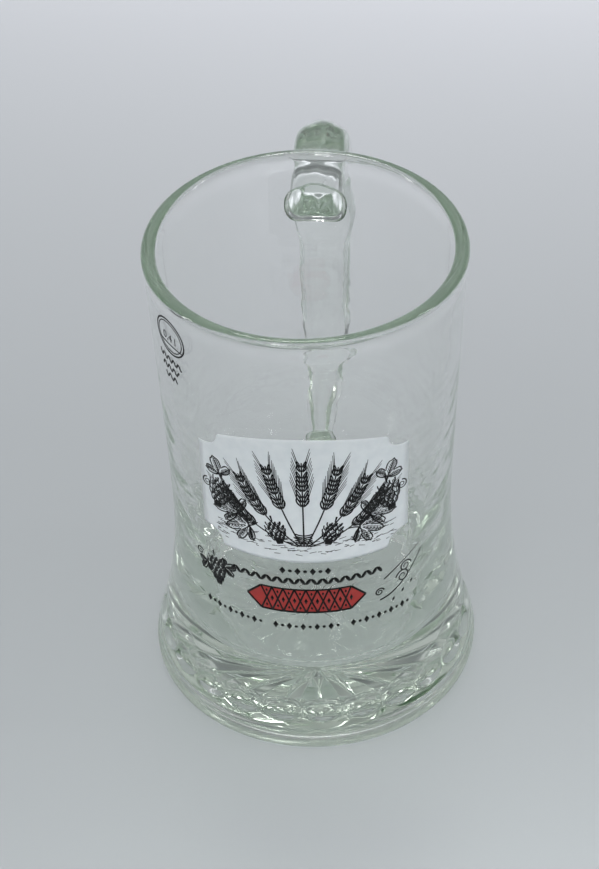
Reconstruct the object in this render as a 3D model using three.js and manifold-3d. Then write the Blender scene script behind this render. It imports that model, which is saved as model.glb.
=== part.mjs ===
// A pressed glass beer mug: a waisted body on a heavy foot, a separate handle seated on its wall, and
// two thin plates of fired enamel on its front. Millimetres, +Z up. The origin lies on the mug's axis,
// in the plane it rests on. The handle stands at +Y, and the print faces -Y.
import * as THREE from 'three';
import { mergeVertices } from 'three/addons/utils/BufferGeometryUtils.js';
import Module from 'manifold-3d';

const wasm = await Module();
wasm.setup();

// Body: outer wall
const mugHeight = 141.3;
const rimRadius = 41;
const rimWall = 3.3;
const waistRadius = 38.25;
const waistHeight = 56;
const upperCurvePower = 1.3;
const flareCurvePower = 2;

// Body: drinking cavity, drawn by a plunger with a slight draft
const cavityFloorHeight = 21;
const cavityFloorRadius = 33.5;
const cavityCornerRadius = 5.5;

// Foot: rounded bottom edge, two ring beads, then the flare
const footRadius = 46;
const footEdgeRound = 2.4;
const footBandHeight = 8.2;
const flareStartRadius = 44.9;
const beadCount = 2;
const beadDepth = 0.35;

// Underside: a flat ring to rest on, round a shallow recess with a pressed star
const restRingWidth = 4.6;
const recessDepth = 0.6;
const recessSlope = 1.2;
const starRayCount = 16;
const starTurn = 6;
const rayInnerRadius = 4.5;
const rayWidestRadius = 23;
const rayOuterRadius = 32;
const rayDepth = 1;
const rayLand = 0.3;
const petalInnerRadius = 1.6;
const petalWidestRadius = 6.5;
const petalOuterRadius = 15.5;
const petalDepth = 0.7;

// Thumbprint ring: hollows round the foot that run into one another at sharp upright ridges
const thumbprintCount = 24;
const thumbprintTurn = -1.5;
const thumbprintLevel = 13.7;
const thumbprintHeight = 7.4;
const thumbprintDepth = 1.4;
const thumbprintLap = 1.15;
const thumbprintToolReach = 3;

// Handle: a D with a flat finger side and a ribbed back, heavy in its upper corner and swollen below it
const armHeight = 125;
const gripReach = 77.4;
const gripLean = 1.8;
const upperBendRadius = 18;
const tailHeight = 42.3;
const lowerBendRadius = 15.5;
const seatWidth = 17.4;
const seatThickness = 12.2;
const armWidth = 15;
const armThickness = 9.8;
const cornerWidth = 15.9;
const cornerThickness = 15.6;
const cornerRun = 8;
const neckWidth = 16.6;
const neckThickness = 11.2;
const swellWidth = 19.5;
const swellThickness = 11.6;
const swellDrop = 29;
const gripWidth = 15.8;
const gripThickness = 11;
const tailWidth = 10.4;
const tailThickness = 8.8;
const tailEndWidth = 7.6;
const tailEndThickness = 8.1;
const tailSeatWidth = 9.8;
const tailSeatThickness = 10.4;
const seatFlareLength = 3.5;
const seatGap = 0.3;

// Enamel: thin plates that follow the wall
const enamelThickness = 0.25;
const enamelGap = 0.3;
const printTurn = 1;
const panelWidth = 53;
const panelLow = 66;
const panelHigh = 110;
const panelCrown = 4;
const panelScoop = 5;
const bandWidth = 31;
const bandLow = 47.4;
const bandHigh = 55.6;
const bandPoint = 4;

// Facets
const facetsRound = 72;
const upperWallSteps = 9;
const flareSteps = 9;
const lipSteps = 6;
const cornerSteps = 5;
const beadSteps = 4;
const thumbprintFacets = 12;
const sectionSteps = 4;
const handleRings = 46;
const plateSteps = 6;

const glassMaterial = new THREE.MeshStandardMaterial({ color: 0xdde8e0, roughness: 0.04, metalness: 0 });
const handleGlass = new THREE.MeshStandardMaterial({ color: 0xcfe0d4, roughness: 0.05, metalness: 0 });
const whiteEnamel = new THREE.MeshStandardMaterial({ color: 0xeef1f0, roughness: 0.35, metalness: 0 });
const redEnamel = new THREE.MeshStandardMaterial({ color: 0xc23b31, roughness: 0.35, metalness: 0 });

const radians = THREE.MathUtils.degToRad;

// Radius of the outer wall at a height: two power curves that meet upright at the waist
function wallRadius(z) {
  if (z >= waistHeight) {
    const rise = Math.min((z - waistHeight) / (mugHeight - rimWall / 2 - waistHeight), 1);
    return waistRadius + (rimRadius - waistRadius) * rise ** upperCurvePower;
  }
  const drop = Math.min((waistHeight - z) / (waistHeight - footBandHeight), 1);
  return waistRadius + (flareStartRadius - waistRadius) * drop ** flareCurvePower;
}

// How far the outer wall leans outwards from upright at a height, as an angle
function wallLean(z) {
  const step = 0.5;
  return Math.atan2(wallRadius(z + step) - wallRadius(z - step), 2 * step);
}

function steps(count) {
  return Array.from({ length: count + 1 }, (_, k) => k / count);
}

function arcPoints(centreR, centreZ, radius, fromDegrees, toDegrees, count) {
  return steps(count).map((t) => {
    const angle = radians(THREE.MathUtils.lerp(fromDegrees, toDegrees, t));
    return new THREE.Vector2(centreR + radius * Math.cos(angle), centreZ + radius * Math.sin(angle));
  });
}

// Points along the outer wall between two heights
function wallPoints(low, high, count, offset = 0) {
  return steps(count).map((t) => {
    const z = THREE.MathUtils.lerp(low, high, t);
    return new THREE.Vector2(wallRadius(z) + offset, z);
  });
}

// A profile of (radius, height) points turned about the axis
function revolve(profile) {
  return new THREE.LatheGeometry(profile, facetsRound).rotateX(Math.PI / 2);
}

// A closed geometry as a solid, with its shared corners merged
function toSolid(geometry) {
  const bare = geometry.clone();
  bare.deleteAttribute('normal');
  bare.deleteAttribute('uv');
  const merged = mergeVertices(bare);
  const corners = merged.index.array;
  const triangles = [];
  for (let i = 0; i < corners.length; i += 3) {
    const [a, b, c] = [corners[i], corners[i + 1], corners[i + 2]];
    if (a !== b && b !== c && c !== a) triangles.push(a, b, c);
  }
  const vertProperties = new Float32Array(merged.attributes.position.array);
  const triVerts = new Uint32Array(triangles);
  return new wasm.Manifold(new wasm.Mesh({ numProp: 3, vertProperties, triVerts }));
}

// A solid as a named mesh of the scene
function toMesh(name, solid, material) {
  const result = solid.getMesh();
  const geometry = new THREE.BufferGeometry();
  geometry.setAttribute('position', new THREE.BufferAttribute(result.vertProperties, 3));
  geometry.setIndex(new THREE.BufferAttribute(result.triVerts, 1));
  geometry.computeVertexNormals();
  const mesh = new THREE.Mesh(geometry, material);
  mesh.name = name;
  return mesh;
}

// Foot profile from the rest ring out and up over the bottom edge and the ring beads
function footProfile() {
  const edge = arcPoints(footRadius - footEdgeRound, footEdgeRound, footEdgeRound, -90, 0, lipSteps);
  const beads = [];
  const grooveZ = (k) => THREE.MathUtils.lerp(footEdgeRound, footBandHeight, k / beadCount);
  const grooveR = (k) => THREE.MathUtils.lerp(footRadius, flareStartRadius, k / beadCount);
  for (let k = 0; k < beadCount; k += 1) {
    for (let j = 1; j < beadSteps; j += 1) {
      const t = k + j / beadSteps;
      const bulge = beadDepth * Math.sin((Math.PI * j) / beadSteps);
      beads.push(new THREE.Vector2(grooveR(t) + bulge, grooveZ(t)));
    }
    if (k < beadCount - 1) beads.push(new THREE.Vector2(grooveR(k + 1) - beadDepth / 2, grooveZ(k + 1)));
  }
  return [...edge, ...beads];
}

// Inner profile from the lip down the drafted wall and round the corner to the middle of the floor
function cavityProfile() {
  const lipZ = mugHeight - rimWall / 2;
  const wallStart = new THREE.Vector2(cavityFloorRadius, cavityFloorHeight + cavityCornerRadius);
  const draftTop = new THREE.Vector2(rimRadius - rimWall, lipZ);
  const corner = arcPoints(wallStart.x - cavityCornerRadius, wallStart.y, cavityCornerRadius, 0, -90, cornerSteps);
  const wall = [0.33, 0.67].map((t) => draftTop.clone().lerp(wallStart, t));
  return [...wall, ...corner, new THREE.Vector2(0, cavityFloorHeight)];
}

function bodyBlank() {
  const restOuter = footRadius - footEdgeRound;
  const restInner = restOuter - restRingWidth;
  const lipZ = mugHeight - rimWall / 2;
  const lip = arcPoints(rimRadius - rimWall / 2, lipZ, rimWall / 2, 0, 180, lipSteps);
  const profile = [
    new THREE.Vector2(0, recessDepth),
    new THREE.Vector2(restInner - recessSlope, recessDepth),
    new THREE.Vector2(restInner, 0),
    ...footProfile(),
    ...wallPoints(footBandHeight, waistHeight, flareSteps),
    ...wallPoints(waistHeight, lipZ, upperWallSteps).slice(1, -1),
    ...lip,
    ...cavityProfile(),
  ];
  return toSolid(revolve(profile));
}

// One hollow: an egg-shaped tool set square to the leaning wall, wide enough to run into its neighbours
function thumbprintTool() {
  const radius = wallRadius(thumbprintLevel);
  const halfWidth = (thumbprintLap * Math.PI * radius) / thumbprintCount;
  const standOff = thumbprintToolReach - thumbprintDepth;
  const across = (standOff + halfWidth ** 2 / (2 * radius)) / thumbprintToolReach;
  const upright = standOff / thumbprintToolReach;
  const toolWidth = halfWidth / Math.sqrt(1 - Math.min(across, 0.98) ** 2);
  const toolHeight = thumbprintHeight / 2 / Math.sqrt(1 - upright ** 2);
  const tool = new THREE.SphereGeometry(1, thumbprintFacets, thumbprintFacets);
  tool.scale(toolWidth, thumbprintToolReach, toolHeight);
  tool.translate(0, -standOff, 0);
  tool.rotateX(wallLean(thumbprintLevel));
  tool.translate(0, -radius, thumbprintLevel);
  return tool;
}

// A kite-shaped hollow with four facets, pointed towards the middle and away from it
function kiteTool(innerRadius, widestRadius, outerRadius, width, depth) {
  const tool = new THREE.OctahedronGeometry(1);
  const position = tool.attributes.position;
  for (let i = 0; i < position.count; i += 1) {
    const along = position.getY(i);
    const reach = along < 0 ? outerRadius - widestRadius : widestRadius - innerRadius;
    position.setXYZ(i, (position.getX(i) * width) / 2, along * reach, position.getZ(i) * depth);
  }
  tool.translate(0, -widestRadius, recessDepth);
  return tool;
}

function ringOfTools(tool, count, turn) {
  return steps(count).slice(1).map((t) => toSolid(tool.clone().rotateZ(radians(turn) + t * 2 * Math.PI)));
}

function glassBody() {
  const pitchAt = (radius) => (2 * Math.PI * radius) / starRayCount;
  const rayWidth = pitchAt(rayWidestRadius) - rayLand;
  const petalWidth = pitchAt(petalWidestRadius) - rayLand / 2;
  const ray = kiteTool(rayInnerRadius, rayWidestRadius, rayOuterRadius, rayWidth, rayDepth);
  const petal = kiteTool(petalInnerRadius, petalWidestRadius, petalOuterRadius, petalWidth, petalDepth);
  const halfPitch = 180 / starRayCount;
  const cuts = [
    ...ringOfTools(thumbprintTool(), thumbprintCount, thumbprintTurn + 180 / thumbprintCount),
    ...ringOfTools(ray, starRayCount, starTurn + halfPitch),
    ...ringOfTools(petal, starRayCount, starTurn),
  ];
  return cuts.reduce((body, cut) => body.subtract(cut), bodyBlank());
}

// Handle section across the path: flat towards the fingers, round sides, and a low round rib on the back
function handleSection(width, thickness) {
  const w = width / 2;
  const h = thickness / 2;
  const shape = new THREE.Shape();
  shape.moveTo(0, h);
  shape.bezierCurveTo(-0.2 * w, 0.99 * h, -0.32 * w, 0.91 * h, -0.45 * w, 0.84 * h);
  shape.bezierCurveTo(-0.72 * w, 0.73 * h, -w, 0.62 * h, -w, -0.1 * h);
  shape.bezierCurveTo(-w, -0.6 * h, -0.85 * w, -h, -0.5 * w, -h);
  shape.lineTo(0.5 * w, -h);
  shape.bezierCurveTo(0.85 * w, -h, w, -0.6 * h, w, -0.1 * h);
  shape.bezierCurveTo(w, 0.62 * h, 0.72 * w, 0.73 * h, 0.45 * w, 0.84 * h);
  shape.bezierCurveTo(0.32 * w, 0.91 * h, 0.2 * w, 0.99 * h, 0, h);
  return shape.getPoints(sectionSteps).slice(0, -1);
}

// Centre line of the handle in the plane x = 0, from inside the wall above to inside the wall below
function handlePath() {
  const at = (y, z) => new THREE.Vector3(0, y, z);
  const kappa = 0.5523;
  const start = at(wallRadius(armHeight) - seatFlareLength, armHeight);
  const armEnd = at(gripReach - upperBendRadius, armHeight);
  const gripTop = at(gripReach, armHeight - upperBendRadius);
  const gripLow = at(gripReach - gripLean, tailHeight + lowerBendRadius);
  const tailStart = at(gripReach - gripLean - lowerBendRadius, tailHeight);
  const end = at(wallRadius(tailHeight) - seatFlareLength, tailHeight);
  const upperPull = kappa * upperBendRadius;
  const lowerPull = kappa * lowerBendRadius;
  const gripPull = (gripTop.z - gripLow.z) / 3;
  const upperBend = [at(armEnd.y + upperPull, armHeight), at(gripTop.y, gripTop.z + upperPull)];
  const grip = [at(gripTop.y, gripTop.z - gripPull), at(gripLow.y, gripLow.z + gripPull)];
  const lowerBend = [at(gripLow.y, gripLow.z - lowerPull), at(tailStart.y + lowerPull, tailHeight)];
  const path = new THREE.CurvePath();
  path.add(new THREE.LineCurve3(start, armEnd));
  path.add(new THREE.CubicBezierCurve3(armEnd, ...upperBend, gripTop));
  path.add(new THREE.CubicBezierCurve3(gripTop, ...grip, gripLow));
  path.add(new THREE.CubicBezierCurve3(gripLow, ...lowerBend, tailStart));
  path.add(new THREE.LineCurve3(tailStart, end));
  return path;
}

// Width and thickness of the handle at stations along its path, eased from each to the next
function handleStations(path) {
  const [armLength, bendEnd, gripEnd, tailStart, total] = path.getCurveLengths();
  const swellAt = bendEnd + swellDrop - upperBendRadius;
  return [
    { at: 0, width: seatWidth, thickness: seatThickness },
    { at: seatFlareLength, width: seatWidth, thickness: seatThickness },
    { at: 2 * seatFlareLength, width: armWidth, thickness: armThickness },
    { at: armLength - cornerRun, width: armWidth, thickness: armThickness },
    { at: (armLength + bendEnd) / 2, width: cornerWidth, thickness: cornerThickness },
    { at: bendEnd + cornerRun / 2, width: neckWidth, thickness: neckThickness },
    { at: swellAt, width: swellWidth, thickness: swellThickness },
    { at: 2 * swellAt - bendEnd, width: gripWidth, thickness: gripThickness },
    { at: gripEnd, width: gripWidth, thickness: gripThickness },
    { at: tailStart, width: tailWidth, thickness: tailThickness },
    { at: total - 2 * seatFlareLength, width: tailEndWidth, thickness: tailEndThickness },
    { at: total - seatFlareLength, width: tailSeatWidth, thickness: tailSeatThickness },
    { at: total, width: tailSeatWidth, thickness: tailSeatThickness },
  ];
}

function sizeAt(stations, distance) {
  const next = Math.max(stations.findIndex((station) => station.at >= distance), 1);
  const [a, b] = [stations[next - 1], stations[next]];
  const t = THREE.MathUtils.smoothstep(distance, a.at, b.at);
  return {
    width: THREE.MathUtils.lerp(a.width, b.width, t),
    thickness: THREE.MathUtils.lerp(a.thickness, b.thickness, t),
  };
}

// Equal rings of points joined into one skin, with flat ends
function loft(rings, outline) {
  const count = outline.length;
  const geometry = new THREE.BufferGeometry();
  geometry.setAttribute('position', new THREE.Float32BufferAttribute(rings.flat().flatMap((p) => [...p]), 3));
  const index = [];
  for (let k = 0; k < rings.length - 1; k += 1) {
    for (let i = 0; i < count; i += 1) {
      const [a, b] = [k * count + i, k * count + ((i + 1) % count)];
      index.push(a, a + count, b, b, a + count, b + count);
    }
  }
  const last = (rings.length - 1) * count;
  for (const [a, b, c] of THREE.ShapeUtils.triangulateShape(outline, [])) {
    index.push(a, b, c, last + a, last + c, last + b);
  }
  geometry.setIndex(index);
  return geometry;
}

function handleBlank() {
  const path = handlePath();
  const stations = handleStations(path);
  const total = path.getLength();
  const rings = steps(handleRings).map((t) => {
    const point = path.getPointAt(t);
    const along = path.getTangentAt(t);
    const { width, thickness } = sizeAt(stations, t * total);
    return handleSection(width, thickness).map(
      (p) => new THREE.Vector3(p.x, point.y - along.z * p.y, point.z + along.y * p.y),
    );
  });
  return toSolid(loft(rings, handleSection(1, 1)));
}

// The space that the body's outer wall fills, grown by the seat gap, so that both ends of the handle fit it
function handle() {
  const profile = [
    new THREE.Vector2(0, footBandHeight),
    ...wallPoints(footBandHeight, waistHeight, flareSteps, seatGap),
    ...wallPoints(waistHeight, mugHeight, upperWallSteps, seatGap).slice(1),
    new THREE.Vector2(0, mugHeight),
  ];
  return handleBlank().subtract(toSolid(revolve(profile)));
}

// A plate of enamel: a thin shell round the wall, cut to an outline drawn on the front plane, then turned
// to where the print sits
function enamelPlate(outline, low, high) {
  const inner = wallPoints(low, high, plateSteps, enamelGap);
  const outer = wallPoints(low, high, plateSteps, enamelGap + enamelThickness);
  const shell = revolve([...outer, ...inner.reverse(), outer[0].clone()]);
  const cutter = new THREE.ExtrudeGeometry(outline, { depth: footRadius, bevelEnabled: false, curveSegments: 4 });
  return toSolid(shell).intersect(toSolid(cutter.rotateX(Math.PI / 2))).rotate([0, 0, printTurn]);
}

// White ground of the picture: a label with scooped corners and a crowned top edge
function panelOutline() {
  const w = panelWidth / 2;
  const shoulder = panelHigh - panelCrown;
  const outline = new THREE.Shape();
  outline.moveTo(-w + panelScoop, panelLow);
  outline.lineTo(w - panelScoop, panelLow);
  outline.quadraticCurveTo(w - panelScoop, panelLow + panelScoop, w, panelLow + panelScoop);
  outline.lineTo(w, shoulder - panelScoop);
  outline.quadraticCurveTo(w - panelScoop, shoulder - panelScoop, w - panelScoop, shoulder);
  outline.quadraticCurveTo(0, panelHigh + panelCrown, -w + panelScoop, shoulder);
  outline.quadraticCurveTo(-w + panelScoop, shoulder - panelScoop, -w, shoulder - panelScoop);
  outline.lineTo(-w, panelLow + panelScoop);
  outline.quadraticCurveTo(-w + panelScoop, panelLow + panelScoop, -w + panelScoop, panelLow);
  return outline;
}

// Red band under the picture: a strip with pointed ends
function bandOutline() {
  const w = bandWidth / 2;
  const middle = (bandLow + bandHigh) / 2;
  const outline = new THREE.Shape();
  outline.moveTo(-w + bandPoint, bandLow);
  outline.lineTo(w - bandPoint, bandLow);
  outline.lineTo(w, middle);
  outline.lineTo(w - bandPoint, bandHigh);
  outline.lineTo(-w + bandPoint, bandHigh);
  outline.lineTo(-w, middle);
  return outline;
}

const mug = new THREE.Group();
mug.add(toMesh('glass_body', glassBody(), glassMaterial));
mug.add(toMesh('handle', handle(), handleGlass));
mug.add(toMesh('enamel_panel', enamelPlate(panelOutline(), panelLow, panelHigh), whiteEnamel));
mug.add(toMesh('enamel_band', enamelPlate(bandOutline(), bandLow, bandHigh), redEnamel));

export default mug;
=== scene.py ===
"""A pressed glass beer mug: a waisted body on a heavy foot, a solid handle and a fired enamel print.

Sizes are in millimetres in the part's own frame, +Z up, with the origin on the mug's axis in the plane that
it rests on. The handle stands at +Y and the print faces -Y. Meshes are written in metres.
"""
import bisect
import logging
import math
import random
from dataclasses import dataclass, field
from enum import Enum
from typing import Any, Callable, Iterable

import bmesh
import bpy
from mathutils import Matrix, Vector, noise


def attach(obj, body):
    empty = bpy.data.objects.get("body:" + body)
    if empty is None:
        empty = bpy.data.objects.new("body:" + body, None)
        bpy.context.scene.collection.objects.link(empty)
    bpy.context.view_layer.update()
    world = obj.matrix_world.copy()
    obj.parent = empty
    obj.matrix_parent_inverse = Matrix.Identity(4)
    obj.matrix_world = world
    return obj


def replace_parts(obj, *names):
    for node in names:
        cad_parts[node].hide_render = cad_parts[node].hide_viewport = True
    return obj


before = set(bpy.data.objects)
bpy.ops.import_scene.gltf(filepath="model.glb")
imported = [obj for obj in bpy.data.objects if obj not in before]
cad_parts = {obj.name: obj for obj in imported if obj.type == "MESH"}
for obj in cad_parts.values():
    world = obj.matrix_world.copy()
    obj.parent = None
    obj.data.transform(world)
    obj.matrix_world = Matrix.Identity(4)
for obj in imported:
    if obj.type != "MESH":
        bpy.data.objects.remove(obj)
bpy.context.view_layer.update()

MM = 0.001
NEAR = 1e-3
TINY = 1e-6
PRINT_LIFT = 0.02
PRINT_BITE = 0.01
BODY = "root"
log = logging.getLogger("beer_mug")

Point = tuple[float, float]
Place = tuple[float, float, float]
Stop = tuple[float, str]
Socket = bpy.types.NodeSocket


class Slot(Enum):
    """Names of the record's material slots."""

    BODY_GLASS = "body_glass"
    HANDLE_GLASS = "handle_glass"
    WHITE_ENAMEL = "white_enamel"
    RED_ENAMEL = "red_enamel"


def linear(hex_colour: str) -> tuple[float, float, float, float]:
    """Turns an sRGB hex colour into linear light.

    Args:
        hex_colour: The colour as "#rrggbb".

    Returns:
        Red, green, blue and an alpha of 1.
    """
    parts = [int(hex_colour[i:i + 2], 16) / 255 for i in (1, 3, 5)]
    red, green, blue = [c / 12.92 if c <= 0.04045 else ((c + 0.055) / 1.055) ** 2.4 for c in parts]
    return red, green, blue, 1.0


def lerp(a: float, b: float, t: float) -> float:
    """Returns the value a share t of the way from a to b."""
    return a + (b - a) * t


def smooth_step(t: float) -> float:
    """Returns t eased at both ends, held to 0..1."""
    t = min(max(t, 0.0), 1.0)
    return t * t * (3 - 2 * t)


def eased(value: float, span: Point) -> float:
    """Returns 0 before a span and 1 past it, eased in between. A span that falls is read the other way."""
    return smooth_step((value - span[0]) / (span[1] - span[0]))


def soft_min(a: float, b: float, blend: float) -> float:
    """Returns the smaller of two values, rounded off where they meet.

    Args:
        a: The first value.
        b: The second value.
        blend: How far apart the two may be and still be rounded into one another.

    Returns:
        The rounded minimum.
    """
    share = max(blend - abs(a - b), 0.0) / blend
    return min(a, b) - share * share * blend / 4


def cubic_shares(t: float) -> tuple[float, float, float, float]:
    """Returns how much of each of its four knots a cubic curve has at t."""
    return (1 - t) ** 3, 3 * t * (1 - t) ** 2, 3 * t * t * (1 - t), t ** 3


def arc(centre: Point, radius: float, start: float, end: float, count: int) -> list[Point]:
    """Returns points on an arc.

    Args:
        centre: Its middle.
        radius: Its radius.
        start: The angle at which it starts, in degrees.
        end: The angle at which it ends, in degrees.
        count: The number of steps, one fewer than the points.

    Returns:
        The points, from its start to its end.
    """
    angles = [math.radians(lerp(start, end, k / count)) for k in range(count + 1)]
    return [(centre[0] + radius * math.cos(a), centre[1] + radius * math.sin(a)) for a in angles]


def curve(a: Point, b: Point, c: Point, count: int = 8) -> list[Point]:
    """Returns points on a quadratic curve.

    Args:
        a: Its start.
        b: The point that it leans towards.
        c: Its end.
        count: The number of steps, one fewer than the points.

    Returns:
        The points, from its start to its end.
    """
    shares = [k / count for k in range(count + 1)]
    return [
        (
            (1 - t) ** 2 * a[0] + 2 * t * (1 - t) * b[0] + t * t * c[0],
            (1 - t) ** 2 * a[1] + 2 * t * (1 - t) * b[1] + t * t * c[1],
        )
        for t in shares
    ]


def straight(a: Point, b: Point, count: int) -> list[Point]:
    """Returns count + 1 points on a straight line from a to b."""
    return [(lerp(a[0], b[0], k / count), lerp(a[1], b[1], k / count)) for k in range(count + 1)]


def add_node(
    tree: bpy.types.NodeTree, kind: str, inputs: dict[Any, Any] | None = None, **settings: Any
) -> Any:
    """Adds a node with its settings and links.

    Args:
        tree: The node tree that gets the node.
        kind: The node's type name.
        inputs: For each input socket, the output socket to link to it or the value to set.
        **settings: The node's own properties.

    Returns:
        The new node.
    """
    node = tree.nodes.new(kind)
    for name, value in settings.items():
        setattr(node, name, value)
    for socket, source in (inputs or {}).items():
        if isinstance(source, Socket):
            tree.links.new(source, node.inputs[socket])
        else:
            node.inputs[socket].default_value = source
    return node


def set_stops(ramp: bpy.types.ColorRamp, stops: Iterable[Stop]) -> None:
    """Gives a new colour ramp its stops.

    Args:
        ramp: The ramp, with the two stops that it starts with.
        stops: Each stop's place, 0..1, and its colour, two or more in rising order.
    """
    for k, (place, colour) in enumerate(stops):
        stop = ramp.elements[k] if k < 2 else ramp.elements.new(place)
        stop.position, stop.color = place, linear(colour)


def new_material(name: str) -> tuple[bpy.types.Material, bpy.types.NodeTree, Any]:
    """Makes an empty node material.

    Args:
        name: The material's name.

    Returns:
        The material, its node tree and its output node.
    """
    material = bpy.data.materials.new(name)
    material.use_nodes = True
    tree = material.node_tree
    tree.nodes.clear()
    return material, tree, add_node(tree, "ShaderNodeOutputMaterial")


@dataclass(frozen=True)
class PressedGlass:
    """Soda-lime glass, pressed in an iron mould and fire polished.

    The eye sees clear glass with a green-grey tint that deepens where it looks through more of it, and a skin
    that is smooth but not flat: the mould leaves it gently wavy, with shallow ripples round the waist. Scuffs
    dull the ring that the mug stands on.
    """

    name: str
    tint: str = "#eaf2e9"
    tint_density: float = 16.5
    ior: float = 1.52
    roughness: float = 0.004
    wave_size: float = 7.0
    wave_height: float = 0.012
    ripple_size: Point = (5.5, 3.0)
    ripple_height: float = 0.09
    ripple_span: float = 150.0
    ripple_stops: tuple[Stop, ...] = (
        (0.18, "#000000"), (0.27, "#ffffff"), (0.55, "#ffffff"), (0.8, "#000000"),
    )
    scuff_roughness: float = 0.3
    scuff_size: float = 0.8
    scuff_reach: float = 0.25
    shadow_tint: str = "#f3f4f3"

    def skin(self, tree: bpy.types.NodeTree, place: Socket, height: Socket) -> Socket:
        """Lays ripples on waves.

        Args:
            tree: The material's node tree.
            place: The socket with the place on the piece.
            height: The socket with the place's height.

        Returns:
            The socket with the normal of the wavy skin.
        """
        waves = add_node(
            tree,
            "ShaderNodeTexNoise",
            {"Vector": place, "Scale": 1 / (self.wave_size * MM), "Detail": 1.0, "Roughness": 0.4},
        )
        wavy = add_node(
            tree,
            "ShaderNodeBump",
            {"Height": waves.outputs["Fac"], "Distance": self.wave_height * MM, "Strength": 1.0},
        )
        across, upright = (1 / (size * MM) for size in self.ripple_size)
        squeezed = add_node(
            tree, "ShaderNodeVectorMath", {0: place, 1: (across, across, upright)}, operation="MULTIPLY"
        )
        ripples = add_node(
            tree, "ShaderNodeTexNoise", {"Vector": squeezed.outputs["Vector"], "Scale": 1.0, "Detail": 0.0}
        )
        level = add_node(
            tree, "ShaderNodeMapRange", {"Value": height, "From Max": self.ripple_span * MM}
        )
        strength = add_node(tree, "ShaderNodeValToRGB", {"Fac": level.outputs["Result"]})
        set_stops(strength.color_ramp, self.ripple_stops)
        rippled = add_node(
            tree,
            "ShaderNodeBump",
            {
                "Height": ripples.outputs["Fac"],
                "Distance": self.ripple_height * MM,
                "Strength": strength.outputs["Color"],
                "Normal": wavy.outputs["Normal"],
            },
        )
        return rippled.outputs["Normal"]

    def scuffed(self, tree: bpy.types.NodeTree, place: Socket, height: Socket) -> Socket:
        """Roughens what the piece stands on.

        Args:
            tree: The material's node tree.
            place: The socket with the place on the piece.
            height: The socket with the place's height.

        Returns:
            The socket with the roughness.
        """
        worn = add_node(
            tree,
            "ShaderNodeMapRange",
            {"Value": height, "From Max": self.scuff_reach * MM, "To Min": 1.0, "To Max": 0.0},
        )
        grit = add_node(
            tree,
            "ShaderNodeTexNoise",
            {"Vector": place, "Scale": 1 / (self.scuff_size * MM), "Detail": 3.0},
        )
        scuffs = add_node(
            tree,
            "ShaderNodeMath",
            {0: worn.outputs["Result"], 1: grit.outputs["Fac"]},
            operation="MULTIPLY",
        )
        roughness = add_node(
            tree,
            "ShaderNodeMath",
            {0: scuffs.outputs["Value"], 1: self.scuff_roughness, 2: self.roughness},
            operation="MULTIPLY_ADD",
        )
        return roughness.outputs["Value"]

    def material(self) -> bpy.types.Material:
        """Returns the glass: refraction, absorption, a wavy skin, and scuffs on what it stands on."""
        material, tree, output = new_material(self.name)
        place = add_node(tree, "ShaderNodeTexCoord").outputs["Object"]
        height = add_node(tree, "ShaderNodeSeparateXYZ", {"Vector": place}).outputs["Z"]
        glass = add_node(
            tree,
            "ShaderNodeBsdfPrincipled",
            {
                "Base Color": linear("#ffffff"),
                "Roughness": self.scuffed(tree, place, height),
                "IOR": self.ior,
                "Transmission Weight": 1.0,
                "Normal": self.skin(tree, place, height),
            },
        )
        # Glass casts a pale shadow, not a black one: the rays that light the table pass straight through it.
        shadow = add_node(tree, "ShaderNodeBsdfTransparent", {"Color": linear(self.shadow_tint)})
        path = add_node(tree, "ShaderNodeLightPath")
        surface = glass.outputs["BSDF"]
        for ray in ("Is Shadow Ray", "Is Diffuse Ray"):
            mix = add_node(
                tree, "ShaderNodeMixShader", {"Fac": path.outputs[ray], 1: surface, 2: shadow.outputs["BSDF"]}
            )
            surface = mix.outputs["Shader"]
        depth = add_node(
            tree,
            "ShaderNodeVolumeAbsorption",
            {"Color": linear(self.tint), "Density": self.tint_density},
        )
        tree.links.new(surface, output.inputs["Surface"])
        tree.links.new(depth.outputs["Volume"], output.inputs["Volume"])
        return material


@dataclass(frozen=True)
class FiredEnamel:
    """Ceramic enamel, screen printed on the wall and fired into it.

    The eye sees an even, slightly satin colour with a faint orange peel, a touch thinner in patches.
    """

    name: str
    colour: str
    thin_colour: str
    roughness: float = 0.32
    ior: float = 1.5
    patch_size: float = 3.0
    patch_range: Point = (0.35, 0.75)
    peel_size: float = 0.35
    peel_height: float = 0.004

    def material(self) -> bpy.types.Material:
        """Returns the enamel: its colour in patches, its sheen and its orange peel."""
        material, tree, output = new_material(self.name)
        place = add_node(tree, "ShaderNodeTexCoord").outputs["Object"]
        patches = add_node(
            tree,
            "ShaderNodeTexNoise",
            {"Vector": place, "Scale": 1 / (self.patch_size * MM), "Detail": 2.0},
        )
        colour = add_node(tree, "ShaderNodeValToRGB", {"Fac": patches.outputs["Fac"]})
        set_stops(colour.color_ramp, zip(self.patch_range, (self.colour, self.thin_colour)))
        peel = add_node(
            tree,
            "ShaderNodeTexNoise",
            {"Vector": place, "Scale": 1 / (self.peel_size * MM), "Detail": 1.0},
        )
        skin = add_node(
            tree,
            "ShaderNodeBump",
            {"Height": peel.outputs["Fac"], "Distance": self.peel_height * MM, "Strength": 1.0},
        )
        enamel = add_node(
            tree,
            "ShaderNodeBsdfPrincipled",
            {
                "Base Color": colour.outputs["Color"],
                "Roughness": self.roughness,
                "IOR": self.ior,
                "Normal": skin.outputs["Normal"],
            },
        )
        tree.links.new(enamel.outputs["BSDF"], output.inputs["Surface"])
        return material


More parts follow.
